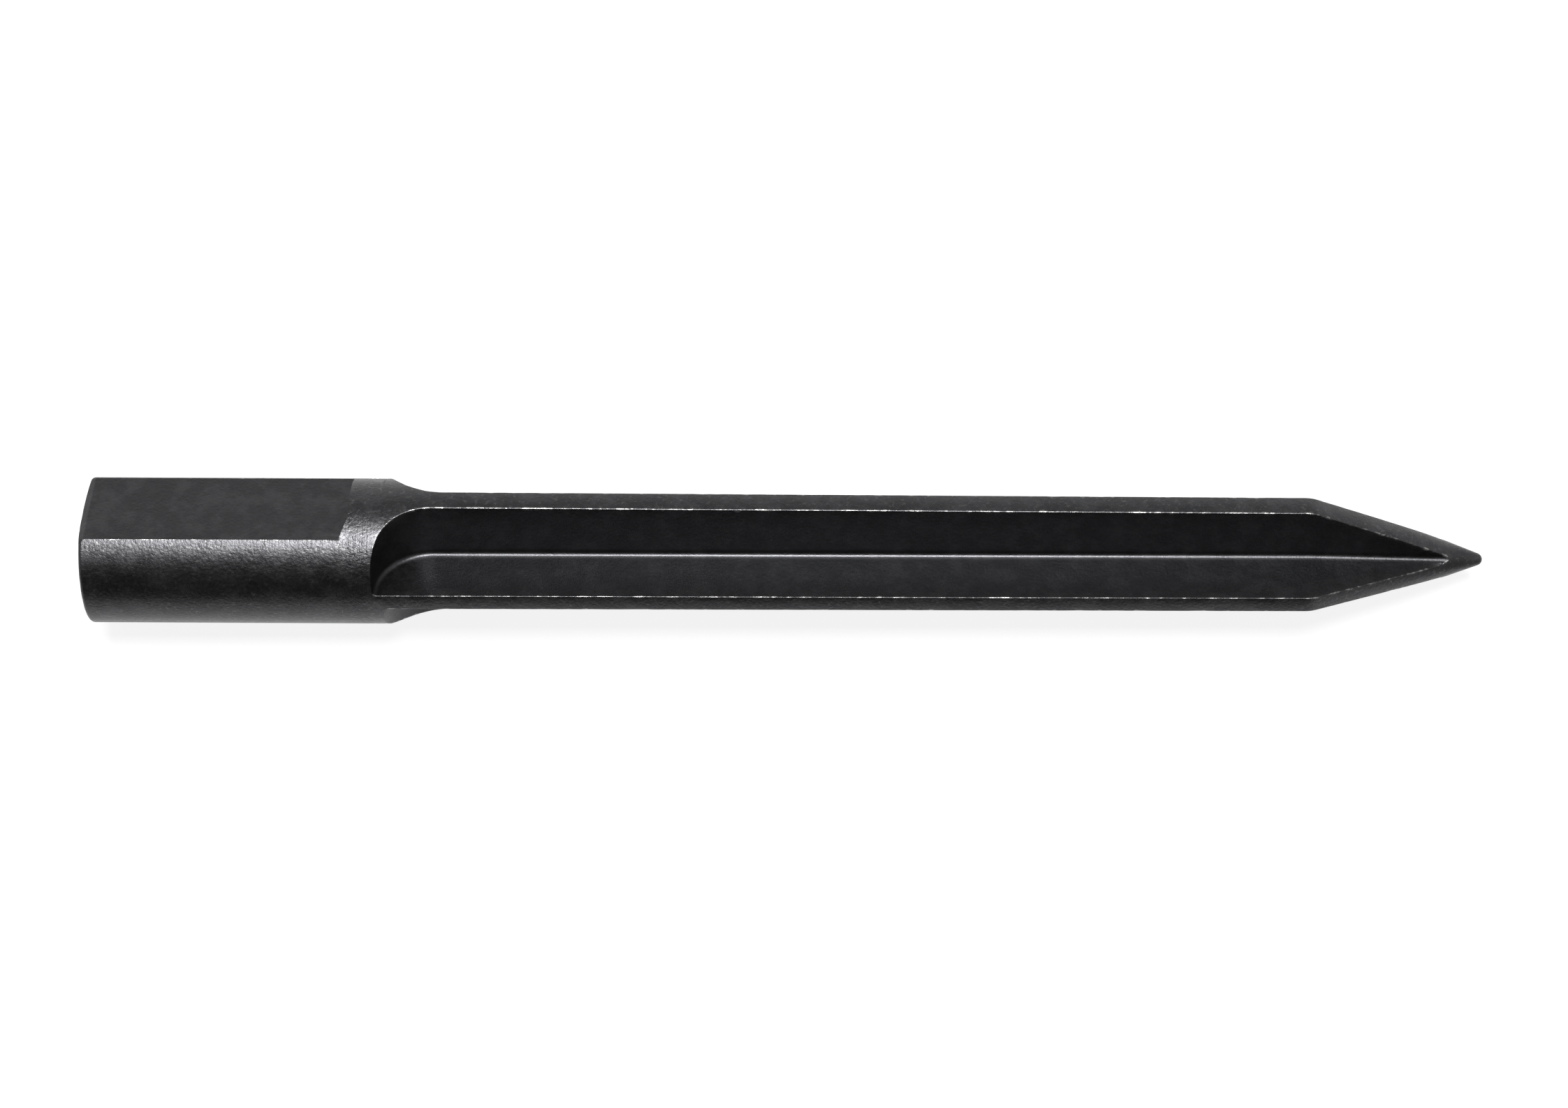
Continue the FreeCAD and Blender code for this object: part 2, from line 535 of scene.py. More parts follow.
@dataclass
class Flutes:
    """The four flutes, which leave an upright rib and a level web as a cross."""

    start: float
    shank_radius: float
    rib_thickness: float = 0.00250
    web_thickness: float = 0.00200
    draft: float = math.radians(1.6)
    runout_radius: float = 0.00635
    valley_radius: float = 0.00055
    root_rise: float = 0.0
    end_root_rise: float = 0.00014
    end_draft_share: float = 0.3
    change_length: float = 0.1
    valley_steps: int = 18
    wall_steps: int = 30
    search_steps: int = 60

    @cached_property
    def floor(self) -> float:
        """The height of a flute's floor over the web's middle plane, at the foot of the rib's wall."""
        return self.web_thickness / 2.0 + self.root_rise

    def towards_point(self, along: float) -> "Flutes":
        """The flutes as they are at a distance from the struck end.

        Args:
            along: The distance.

        Returns:
            Flutes whose floor rises a little more to the wall, and whose wall leans less, near the point.
        """
        share = min(max((along - self.corner_along) / self.change_length, 0.0), 1.0)
        draft = self.draft * (1.0 - (1.0 - self.end_draft_share) * share)
        return replace(self, draft=draft, root_rise=self.end_root_rise * share)

    @cached_property
    def lean(self) -> float:
        """How far the wall leans from its top to the floor."""
        return (self.shank_radius - self.floor) * math.tan(self.draft)

    @cached_property
    def wall(self) -> float:
        """The distance of the wall's foot from the rib's middle plane."""
        return self.rib_thickness / 2.0 + self.lean

    @cached_property
    def corner_along(self) -> float:
        """Where the run-out's arc meets the straight wall."""
        return self.start + self.lean + self.runout_radius

    def growth(self, height: float) -> float:
        """How far the wall has moved outwards from its foot, for draft and for the valley's rounding.

        Args:
            height: The height over the floor.

        Returns:
            The distance, which is negative in the rounding.
        """
        lean = height * math.tan(self.draft)
        if height >= self.valley_radius:
            return lean
        below = self.valley_radius - height
        return lean - self.valley_radius + math.sqrt(self.valley_radius ** 2 - below ** 2)

    def wall_side(self, along: float, height: float) -> float:
        """The distance from the rib's middle plane to the flute's wall.

        Args:
            along: The distance from the struck end.
            height: The height over the flute's floor.

        Returns:
            The distance, which in the run-out follows the corner's arc.
        """
        growth = self.growth(height)
        before = self.corner_along - along
        if before <= 0.0:
            return self.wall - growth
        across = max((self.runout_radius + growth) ** 2 - before ** 2, 0.0)
        return self.wall + self.runout_radius - math.sqrt(across)

    def lowest(self, along: float) -> float:
        """The height over its floor that the flute starts at, which rises against the end wall.

        Args:
            along: The distance from the struck end.

        Returns:
            The height.
        """
        needed = self.corner_along - along - self.runout_radius
        if needed <= self.growth(0.0):
            return 0.0
        return bisect(lambda height: self.growth(height) - needed, 0.0, self.shank_radius * 2.0)

    def reach(self, along: float, height: float) -> float:
        """How far from the axis the flute's wall is at a height over its floor."""
        return math.hypot(self.wall_side(along, height), self.floor + height)

    def nearest(self, along: float, lowest: float) -> float:
        """Find where the flute's wall comes nearest to the axis.

        Args:
            along: The distance from the struck end.
            lowest: The height over the floor that the flute starts at.

        Returns:
            The height over the floor.
        """
        knee = max(lowest, self.valley_radius) + self.valley_radius
        heights = spread(lowest, knee, self.search_steps)
        heights += spread(knee, max(self.shank_radius, knee * 2.0), self.search_steps)
        return min(heights, key=lambda height: self.reach(along, height))

    def line(self, along: float, radius: float) -> Union[FluteLine, float]:
        """The flute's cross-section inside the turned surface.

        Args:
            along: The distance from the struck end.
            radius: The turned surface's radius there.

        Returns:
            The line from the web's land to the rib's land, or where there is no flute, the angle at
            which it comes nearest.
        """

        def outside(height: float) -> float:
            """How far the wall is outside the turned surface at a height."""
            return self.reach(along, height) - radius

        lowest = self.lowest(along)
        nearest = self.nearest(along, lowest)
        if outside(nearest) >= 0.0:
            return math.atan2(self.floor + nearest, self.wall_side(along, nearest))
        top = bisect(outside, nearest, radius * 2.0)
        level = self.floor + lowest
        if radius > level and math.sqrt(radius ** 2 - level ** 2) > self.wall_side(along, lowest):
            tip = level - self.root_rise
            points = [(math.sqrt(radius ** 2 - tip ** 2), tip)]
            start = lowest
        else:
            points = []
            start = bisect(outside, lowest, nearest)
        valley_from = len(points)
        knee = min(top, self.valley_radius)
        if start < knee:
            first, last = (math.acos(1.0 - height / self.valley_radius) for height in (start, knee))
            for turn in spread(first, last, self.valley_steps):
                height = self.valley_radius * (1.0 - math.cos(turn))
                points.append((self.wall_side(along, height), self.floor + height))
        wall_from = len(points)
        for height in spread(max(start, knee), top, self.wall_steps) + [top]:
            points.append((self.wall_side(along, height), self.floor + height))
        return FluteLine(points, valley_from, wall_from)


@dataclass
class FlutedPunch:
    """The whole punch, which is one piece of steel."""

    bar: TurnedBar
    flat: MarkingFlat
    upright_flutes: Flutes
    side_flutes: Flutes
    columns: Columns = Columns()
    counts: Rings = Rings()
    arm_angle: float = math.radians(45.0)
    worn_rib_edge: float = 0.00013
    worn_web_edge: float = 0.00007
    edge_fade: float = 0.00045
    flat_edge_fade: float = 0.0003
    worn_line_share: float = 0.3
    worn_land_share: float = 0.4
    corner_wall_share: float = 0.25
    corner_wall_edge: float = 0.3
    crown_edge: float = 0.6
    rim_edge: float = 0.8
    bevel_ring_gap: float = 0.0001
    closing_radius: float = 0.0024
    nick_depth: float = 0.00003
    nick_size: float = 0.0016
    nick_band: tuple[float, float] = (0.5, 0.72)
    nick_edge_band: tuple[float, float] = (0.2, 1.0)
    point_drift: float = 0.00036
    weld_distance: float = 1e-7
    sharp_angle: float = math.radians(28.0)
    seed: float = 4.0

    @classmethod
    def from_frame(cls, node: str) -> "FlutedPunch":
        """Size the punch from its CAD node.

        Args:
            node: The node's name.

        Returns:
            The punch.
        """
        low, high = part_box(node)
        shank_radius = (high.z - low.z) / 2.0
        flat = MarkingFlat(shank_radius, TurnedBar.crown_height)
        start = flat.length + PLAIN_BAND
        bar = TurnedBar(high.x - low.x, shank_radius, start)
        return cls(bar, flat, Flutes(start, shank_radius), Flutes(start + FLUTE_STAGGER, shank_radius))

    # -- outlines of a quarter, from the web's middle to the rib's middle --

    def round_point(self, along: float, radius: float, angle: float, edge: float = 0.0) -> SkinPoint:
        """A point of the turned surface at an angle from the web."""
        return SkinPoint(along, radius * math.cos(angle), radius * math.sin(angle), edge)

    def fluted_quarter(self, along: float, flutes: Flutes) -> Outline:
        """The outline of a quarter with a flute, or where the steel before or past the flute is round.

        Args:
            along: The distance from the struck end.
            flutes: The pair that the quarter's flute is one of.

        Returns:
            One point for each column.
        """
        radius = self.bar.radius(along)
        line = flutes.towards_point(along).line(along, radius)
        if not isinstance(line, FluteLine):
            return self.closed_quarter(along, radius, line)
        web_angle, rib_angle = (math.atan2(up, side) for side, up in (line.points[0], line.points[-1]))
        limit = min(line.total * self.worn_line_share, web_angle * radius * self.worn_land_share)
        worn_web, worn_rib = min(self.worn_web_edge, limit), min(self.worn_rib_edge, limit)
        floor, valley, wall, top = line.marks(worn_web, worn_rib)
        lengths = eased(floor, valley, self.columns.floor) + spread(valley, wall, self.columns.valley)
        lengths += eased(wall, top, self.columns.wall)
        points = self.land(along, radius, 0.0, web_angle - worn_web / radius, Arm.WEB)
        points += self.worn_corner(along, radius, line, worn_web, Arm.WEB)
        for length in lengths:
            distance = min(length - worn_web, line.total - length - worn_rib)
            points.append(SkinPoint(along, *line.at(length), fade(distance, self.edge_fade), 0.0))
        points += self.worn_corner(along, radius, line, worn_rib, Arm.RIB)
        points += self.land(along, radius, rib_angle + worn_rib / radius, QUARTER_TURN, Arm.RIB)
        return points + [SkinPoint(along, 0.0, radius)]

    def closed_quarter(self, along: float, radius: float, angle: float) -> Outline:
        """A quarter of a full circle, with the flute's columns drawn together.

        Args:
            along: The distance from the struck end.
            radius: The turned surface's radius.
            angle: The angle at which those columns meet.

        Returns:
            One point for each column.
        """
        angles = spread(0.0, angle, self.columns.web_land) + [angle] * self.columns.inside
        angles += spread(angle, QUARTER_TURN, self.columns.rib_land) + [QUARTER_TURN]
        return [self.round_point(along, radius, turn) for turn in angles]

    def land(self, along: float, radius: float, low: float, high: float, arm: Arm) -> Outline:
        """The points of an arm's turned outer face, with the wear beside its edge.

        Args:
            along: The distance from the struck end.
            radius: The turned surface's radius.
            low: The angle of the first point.
            high: The angle that the points stop short of.
            arm: The arm that the face is on.

        Returns:
            The points.
        """
        steps, border = (self.columns.web_land, high) if arm is Arm.WEB else (self.columns.rib_land, low)
        return [self.round_point(along, radius, angle, fade(abs(border - angle) * radius, self.edge_fade))
                for angle in eased(low, high, steps)]

    def worn_corner(self, along: float, radius: float, line: FluteLine, worn: float, arm: Arm) -> Outline:
        """The rounded edge between an arm's outer face and the flute, as a quadratic curve.

        Args:
            along: The distance from the struck end.
            radius: The turned surface's radius.
            line: The flute's cross-section.
            worn: How far the rounding reaches.
            arm: The arm that the edge is on.

        Returns:
            The points, in the order of the columns.
        """
        corner = Vector(line.points[0] if arm is Arm.WEB else line.points[-1])
        turn = worn / radius if arm is Arm.RIB else -worn / radius
        outer = Matrix.Rotation(turn, 2) @ corner
        inner = Vector(line.at(worn if arm is Arm.WEB else line.total - worn))
        start, end = (outer, inner) if arm is Arm.WEB else (inner, outer)
        points = []
        for share in spread(0.0, 1.0, self.columns.edge):
            place = start * (1.0 - share) ** 2 + corner * (2.0 * share * (1.0 - share)) + end * share ** 2
            turned = 0.5 * (share if arm is Arm.RIB else 1.0 - share)
            points.append(SkinPoint(along, place.x, place.y, 1.0, turned))
        return points

    def shank_angles(self, quarter: Quarter) -> list[float]:
        """The angles of the columns around the shank.

        Args:
            quarter: Whether this quarter has the flat.

        Returns:
            One angle for each column, with one of them on the flat's edge.
        """
        steps = self.columns.steps
        if quarter is Quarter.PLAIN:
            return spread(0.0, QUARTER_TURN, steps) + [QUARTER_TURN]
        below = round(steps * self.flat.border / QUARTER_TURN)
        angles = spread(0.0, self.flat.border, below)
        return angles + spread(self.flat.border, QUARTER_TURN, steps - below) + [QUARTER_TURN]

    def shank_point(self, along: float, radius: float, angle: float, quarter: Quarter) -> SkinPoint:
        """A point of the shank, on its round or on its flat.

        Args:
            along: The distance from the struck end.
            radius: The round's radius there.
            angle: The column's angle.
            quarter: Whether this quarter has the flat.

        Returns:
            The point.
        """
        flat = self.flat
        level = flat.level(along)
        if quarter is Quarter.PLAIN:
            return self.round_point(along, radius, angle)
        if level >= radius * math.sin(angle) - TOUCH:
            distance = (math.asin(min(level / radius, 1.0)) - angle) * radius
            return self.round_point(along, radius, angle, fade(distance, self.flat_edge_fade))
        share = (QUARTER_TURN - angle) / (QUARTER_TURN - flat.border)
        full_width = math.sqrt(radius ** 2 - level ** 2)
        half_width = min(flat.half_width(along, quarter), full_width)
        narrowed = flat.half_width(along, quarter) < flat.full_half_width - TOUCH
        wall_share = self.corner_wall_share if narrowed else 0.0
        if share > 1.0 - wall_share:
            top = math.sqrt(radius ** 2 - half_width ** 2)
            up = level + (top - level) * (share - 1.0 + wall_share) / wall_share
            return SkinPoint(along, half_width, up, self.corner_wall_edge)
        side = half_width * share / (1.0 - wall_share)
        return SkinPoint(along, side, level, fade(full_width - side, self.flat_edge_fade), 0.2)

    def shank_quarter(self, along: float, quarter: Quarter) -> Outline:
        """The shank's outline over one quarter."""
        radius = self.bar.radius(along)
        return [self.shank_point(along, radius, angle, quarter) for angle in self.shank_angles(quarter)]

    def cap_radius(self, angle: float, quarter: Quarter) -> float:
        """How far the crowned face reaches from the axis, up to the rim or the flat's bevel.

        Args:
            angle: The column's angle.
            quarter: Whether this quarter has the flat.

        Returns:
            The radius.
        """

        def over(radius: float) -> float:
            """How far a point of the crown stands over the flat's bevel."""
            return radius * math.sin(angle) - self.flat.level(self.bar.crown_at(radius))

        if quarter is not Quarter.PLAIN and over(self.bar.rim_start) > 0.0:
            return bisect(over, 0.0, self.bar.rim_start)
        return self.bar.rim_start

    def cap_quarter(self, share: float, quarter: Quarter) -> Outline:
        """A ring of the crowned face.

        Args:
            share: How far the ring is from the face's middle to its border.
            quarter: Whether this quarter has the flat.

        Returns:
            One point for each column, with the wear rising steeply towards the border.
        """
        points = []
        for angle in self.shank_angles(quarter):
            radius = self.cap_radius(angle, quarter) * share
            edge = self.crown_edge * share ** 8
            points.append(self.round_point(self.bar.crown_at(radius), radius, angle, edge))
        return points

    def rim_quarter(self, share: float, quarter: Quarter) -> Outline:
        """A ring of the rim.

        Args:
            share: How far the ring is from the crowned face to the end of the flat's bevel.
            quarter: Whether this quarter has the flat.

        Returns:
            One point for each column.
        """
        points = []
        for angle in self.shank_angles(quarter):
            start = self.bar.crown_at(self.cap_radius(angle, quarter))
            along = start + (self.flat.bevel_end - start) * share ** 2
            point = self.shank_point(along, self.bar.radius(along), angle, quarter)
            points.append(replace(point, edge=max(point.edge, self.rim_edge * (1.0 - share))))
        return points

    def band_quarter(self, share: float, quarter: Quarter, first_ring: Outline) -> Outline:
        """A ring of the plain band, whose columns turn from the shank's to the flutes' as it goes.

        Args:
            share: How far the ring is along the band.
            quarter: Whether this quarter of the shank has the flat.
            first_ring: This quarter's outline where the flutes start.

        Returns:
            One point for each column.
        """
        along = self.flat.length + (first_ring[0].along - self.flat.length) * share
        points = []
        for angle, last in zip(self.shank_angles(quarter), first_ring):
            goal = math.atan2(last.up, last.side)
            point = self.round_point(along, self.bar.shank_radius, angle + (goal - angle) * share)
            points.append(replace(point, turned=1.0))
        return points

    # -- the rings in order --

    def first_fluted(self, flutes: Flutes) -> float:
        """Find where a pair of flutes first cuts into the round of the shank.

        Args:
            flutes: The pair.

        Returns:
            The distance from the struck end.
        """

        def cut(along: float) -> float:
            """Positive where there is a flute."""
            return 1.0 if isinstance(flutes.line(along, self.bar.radius(along)), FluteLine) else -1.0

        return bisect(cut, flutes.start - flutes.lean, flutes.corner_along)

    def runout_stations(self) -> list[float]:
        """Place the rings of both pairs' run-outs.

        Returns:
            Their distances from the struck end.
        """
        places = []
        for flutes in (self.upright_flutes, self.side_flutes):
            corner = flutes.corner_along
            length = corner - self.first_fluted(flutes)
            turns = spread(0.0, QUARTER_TURN, self.counts.runout)
            places += [corner - length * math.cos(turn) for turn in turns]
        return sorted(places)

    def stations(self) -> Iterator[float]:
        """Place the rings of the fluted body and the nose, closer together where the shape turns.

        Yields:
            Their distances from the struck end, in order.
        """
        bar, counts = self.bar, self.counts
        yield from self.runout_stations()
        yield from spread(self.side_flutes.corner_along, bar.shoulder_start, counts.body)
        yield from spread(bar.shoulder_start, bar.shoulder_end, counts.shoulder)
        closing = bar.apex - self.closing_radius / math.tan(bar.nose_half_angle)
        yield from spread(bar.shoulder_end, closing, counts.nose)
        yield from spread(closing, bar.ball_start, counts.closing)
        for turn in spread(bar.nose_half_angle, QUARTER_TURN, counts.ball):
            yield bar.length - bar.point_radius * (1.0 - math.sin(turn))
        yield bar.length

    def rings(self, side: Side) -> Iterator[Outline]:
        """Every ring from the struck end to the point, over half of the punch.

        Args:
            side: Which half.

        Yields:
            The points of one ring, from the lower rib's middle round the web to the upper rib's middle.
        """
        flat, counts = self.flat, self.counts
        for share in spread(0.0, 1.0, counts.crown):
            yield self.half(*(self.cap_quarter(share, quarter) for quarter in side.quarters))
        for share in spread(0.0, 1.0, counts.rim):
            yield self.half(*(self.rim_quarter(share, quarter) for quarter in side.quarters))
        shank = [flat.bevel_end]
        shank += spread(flat.bevel_end + self.bevel_ring_gap, flat.corner_start, counts.shank)
        shank += spread(flat.corner_start, flat.length, counts.cut_corner) + [flat.length]
        for along in shank:
            yield self.half(*(self.shank_quarter(along, quarter) for quarter in side.quarters))
        fluted = [[self.fluted_quarter(along, flutes) for flutes in self.pairs(side)]
                  for along in self.stations()]
        for share in spread(0.0, 1.0, counts.plain_band):
            yield self.half(*(self.band_quarter(share, quarter, first)
                              for quarter, first in zip(side.quarters, fluted[0])))
        for lower, upper in fluted:
            yield self.half(lower, upper)

    def pairs(self, side: Side) -> tuple[Flutes, Flutes]:
        """Tell which pair each flute of a half belongs to.

        Args:
            side: Which half.

        Returns:
            The pairs of its lower and its upper flute.
        """
        if side is Side.SQUARE:
            return self.upright_flutes, self.side_flutes
        return self.side_flutes, self.upright_flutes

    @staticmethod
    def half(lower: Outline, upper: Outline) -> Outline:
        """Join a lower quarter, turned upside down, to an upper one."""
        return [replace(point, up=-point.up) for point in reversed(lower[1:])] + upper

    # -- the mesh --

    def halves_mesh(self) -> bpy.types.Mesh:
        """Make a mesh of the rings of both halves, not yet joined.

        Returns:
            The mesh, with what the finish needs to know as attributes of its points.
        """
        points: Outline = []
        faces: list[tuple[int, ...]] = []
        for side in Side:
            rings = list(self.rings(side))
            start, width = len(points), len(rings[0])
            points += [replace(point, side=point.side * side.value) for ring in rings for point in ring]
            for row in range(start, start + (len(rings) - 1) * width, width):
                for first in range(row, row + width - 1):
                    face = (first, first + 1, first + width + 1, first + width)
                    faces.append(face if side is Side.SQUARE else face[::-1])
        mesh = bpy.data.meshes.new("punch_halves")
        mesh.from_pydata([(point.along, point.side, point.up) for point in points], [], faces)
        for name in ("edge", "turned"):
            attribute = mesh.attributes.new(name, "FLOAT", "POINT")
            attribute.data.foreach_set("value", [getattr(point, name) for point in points])
        return mesh

    def growing_tree(self) -> bpy.types.GeometryNodeTree:
        """Make the node tree that turns the two halves into the whole punch, lying as the CAD has it.

        Returns:
            The tree.
        """
        tree = bpy.data.node_groups.new("grow_punch", "GeometryNodeTree")
        tree.interface.new_socket("Geometry", in_out="OUTPUT", socket_type="NodeSocketGeometry")
        for name, kind in (("Geometry", "Geometry"), ("Weld Distance", "Float"), ("Nick Depth", "Float"),
                           ("Nick Size", "Float"), ("Seed", "Float"), ("Arm Angle", "Float"),
                           ("Lie Back", "Vector"), ("Drift From", "Float"), ("Drift To", "Float"),
                           ("Point Drift", "Float"), ("Sharp Angle", "Float"), ("Finish", "Material")):
            tree.interface.new_socket(name, in_out="INPUT", socket_type=f"NodeSocket{kind}")
        sheet = NodeSheet(tree)
        source = sheet.add("NodeGroupInput", {}, {})
        given = {socket.name: Value(sheet, socket) for socket in source.outputs}
        skin = sheet.output("GeometryNodeMergeByDistance", {},
                            {"Geometry": given["Geometry"], "Distance": given["Weld Distance"]})
        skin = self.nicks(sheet, skin, given)
        turn = sheet.output("ShaderNodeCombineXYZ", {}, {"X": 0.0 - given["Arm Angle"]})
        skin = sheet.output("GeometryNodeTransform", {},
                            {"Geometry": skin, "Translation": given["Lie Back"], "Rotation": turn})
        skin = self.drift(sheet, skin, given)
        skin = sheet.output("GeometryNodeSetShadeSmooth", {"domain": "FACE"}, {"Geometry": skin})
        angle = sheet.output("GeometryNodeInputMeshEdgeAngle", {}, {})
        sharp = sheet.output("FunctionNodeCompare", {"operation": "GREATER_THAN"},
                             {0: angle, 1: given["Sharp Angle"]})
        skin = sheet.output("GeometryNodeSetShadeSmooth", {"domain": "EDGE"},
                            {"Geometry": skin, "Selection": sharp, "Shade Smooth": False})
        skin = sheet.output("GeometryNodeRealizeInstances", {}, {"Geometry": skin})
        skin = sheet.output("GeometryNodeSetMaterial", {}, {"Geometry": skin, "Material": given["Finish"]})
        sheet.add("NodeGroupOutput", {}, {"Geometry": skin})
        return tree

    def nicks(self, sheet: NodeSheet, geometry: Value, given: dict[str, Value]) -> Value:
        """Wear the edges back unevenly, always inwards.

        Args:
            sheet: The tree's node sheet.
            geometry: The whole skin.
            given: The tree's inputs by name.

        Returns:
            The worn skin.
        """
        place = sheet.output("GeometryNodeInputPosition", {}, {})
        edge = sheet.output("GeometryNodeInputNamedAttribute", {"data_type": "FLOAT"}, {"Name": "edge"})
        pattern = {"Vector": place, "W": given["Seed"], "Scale": 1.0 / given["Nick Size"], "Detail": 2.0}
        wear = sheet.output("ShaderNodeTexNoise", {"noise_dimensions": "4D"}, pattern)
        share = wear.rise(*self.nick_band) * edge.rise(*self.nick_edge_band)
        depth = share * given["Nick Depth"] * -1.0
        normal = sheet.output("GeometryNodeInputNormal", {}, {})
        inwards = sheet.output("ShaderNodeVectorMath", {"operation": "SCALE"}, {0: normal, "Scale": depth})
        return sheet.output("GeometryNodeSetPosition", {}, {"Geometry": geometry, "Offset": inwards})

    def drift(self, sheet: NodeSheet, geometry: Value, given: dict[str, Value]) -> Value:
        """Lead the nose a little off the axis, as its last grinding left it.

        Args:
            sheet: The tree's node sheet.
            geometry: The skin, lying as the CAD has it.
            given: The tree's inputs by name.

        Returns:
            The skin with its point moved.
        """
        place = sheet.output("GeometryNodeInputPosition", {}, {})
        along = sheet.output("ShaderNodeSeparateXYZ", {}, {0: place})
        share = sheet.output("ShaderNodeMapRange", {}, {"Value": along, "From Min": given["Drift From"],
                                                        "From Max": given["Drift To"]})
        aside = sheet.output("ShaderNodeCombineXYZ", {}, {"Y": share * given["Point Drift"] * -1.0})
        return sheet.output("GeometryNodeSetPosition", {}, {"Geometry": geometry, "Offset": aside})

    def build(self, finish: bpy.types.Material) -> bpy.types.Object:
        """Build the punch as one plain mesh where the CAD has it.

        Args:
            finish: The steel's material.

        Returns:
            The punch's object.
        """
        halves = self.halves_mesh()
        halves.materials.append(finish)
        source = bpy.data.objects.new("punch_halves", halves)
        bpy.context.scene.collection.objects.link(source)
        modifier = source.modifiers.new("grow", "NODES")
        modifier.node_group = self.growing_tree()
        bar = self.bar
        sizes = {"Weld Distance": self.weld_distance, "Nick Depth": self.nick_depth,
                 "Nick Size": self.nick_size, "Seed": self.seed, "Arm Angle": self.arm_angle,
                 "Lie Back": (-bar.length / 2.0, 0.0, bar.shank_radius),
                 "Drift From": bar.shoulder_end - bar.length / 2.0, "Drift To": bar.length / 2.0,
                 "Point Drift": self.point_drift, "Sharp Angle": self.sharp_angle, "Finish": finish}
        for item in modifier.node_group.interface.items_tree:
            if item.in_out == "INPUT" and item.name in sizes:
                modifier[item.identifier] = sizes[item.name]
        whole = source.evaluated_get(bpy.context.evaluated_depsgraph_get())
        mesh = bpy.data.meshes.new_from_object(whole)
        source.modifiers.remove(modifier)
        bpy.data.objects.remove(source)
        mesh.name = "steel_punch"
        punch = bpy.data.objects.new("steel_punch", mesh)
        bpy.context.scene.collection.objects.link(punch)
        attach(punch, "root")
        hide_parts("fluted_punch")
        log.info("steel_punch: %d points, %d faces", len(mesh.vertices), len(mesh.polygons))
        return punch


# ---- the finish ---------------------------------------------------------------------------------


@dataclass(frozen=True)
class BlackenedSteel:
    """Steel with a thin black oxide, worn through to bare metal along its edges."""

    oxide: tuple[float, float, float] = (0.048, 0.048, 0.0505)
    faded: tuple[float, float, float] = (0.062, 0.062, 0.065)
    speck: tuple[float, float, float] = (0.085, 0.085, 0.088)
    scale: tuple[float, float, float] = (0.02, 0.02, 0.022)
    bare: tuple[float, float, float] = (0.42, 0.41, 0.40)
    roughness: float = 0.375
    grain_size: float = 0.00034
    mark_size: float = 0.00016
    mark_stretch: float = 0.03
    speck_size: float = 0.0005
    wear_size: float = 0.0007
    wear_stretch: float = 0.6
    blotch_size: float = 0.0022
    wear_unevenness: float = 2.2
    worn_band: tuple[float, float] = (0.95, 1.5)
    speck_band: tuple[float, float] = (0.56, 0.7)
    speck_turned_band: tuple[float, float] = (0.1, 0.6)
    blotch_band: tuple[float, float] = (0.42, 0.66)
    scale_share: float = 0.28
    blotch_roughness: float = 0.14
    grain_roughness: float = 0.20
    worn_smoothness: float = 0.08
    mark_depth: float = 0.03
    forged_grain: float = 0.018
    turned_grain: float = 0.05
    blotch_depth: float = 0.022
    relief: float = 0.001

    def material(self) -> bpy.types.Material:
        """Make the material.

        Returns:
            A material that reads Object coordinates and the points' own attributes.
        """
        material = bpy.data.materials.new("blackened_steel")
        material.use_nodes = True
        sheet = NodeSheet(material.node_tree)
        place = sheet.output("ShaderNodeTexCoord", {}, {}, "Object")
        edge = sheet.output("ShaderNodeAttribute", {"attribute_name": "edge"}, {}, "Fac")
        turned = sheet.output("ShaderNodeAttribute", {"attribute_name": "turned"}, {}, "Fac")
        grain = sheet.noise(place, 1.0 / self.grain_size, 3.0, 0.6)
        blotch = sheet.noise(place, 1.0 / self.blotch_size, 4.0, 0.65)
        marks = sheet.noise(place.scaled(1.0, self.mark_stretch), 1.0 / self.mark_size, 2.0, 0.5)
        wear = sheet.noise(place.scaled(self.wear_stretch, 1.0), 1.0 / self.wear_size, 4.0, 0.7)
        worn = (edge + (wear - 0.5) * self.wear_unevenness).rise(*self.worn_band)
        specks = sheet.noise(place, 1.0 / self.speck_size, 2.0, 0.7).rise(*self.speck_band)
        specks = specks * turned.rise(*self.speck_turned_band)
        forged = 1.0 - turned.rise(0.0, 0.3)
        colour = sheet.mix(blotch.rise(*self.blotch_band), (*self.oxide, 1.0), (*self.faded, 1.0))
        colour = sheet.mix(specks, colour, (*self.speck, 1.0))
        colour = sheet.mix(self.scale_share * forged, colour, (*self.scale, 1.0))
        colour = sheet.mix(worn, colour, (*self.bare, 1.0))
        rough = self.roughness + (blotch - 0.5) * self.blotch_roughness
        rough = rough + (grain - 0.5) * self.grain_roughness - worn * self.worn_smoothness
        cut = (marks - 0.5) * turned.rise(0.5, 1.0) * self.mark_depth
        height = (grain - 0.5) * (self.forged_grain + turned * self.turned_grain) + cut
        height = height + (blotch - 0.5) * self.blotch_depth
        relief = {"Strength": 1.0, "Distance": self.relief, "Height": height}
        bump = sheet.output("ShaderNodeBump", {}, relief)
        steel = sheet.output("ShaderNodeBsdfPrincipled", {},
                             {"Base Color": colour, "Metallic": 1.0, "Roughness": rough, "Normal": bump})
        sheet.add("ShaderNodeOutputMaterial", {}, {"Surface": steel})
        return material


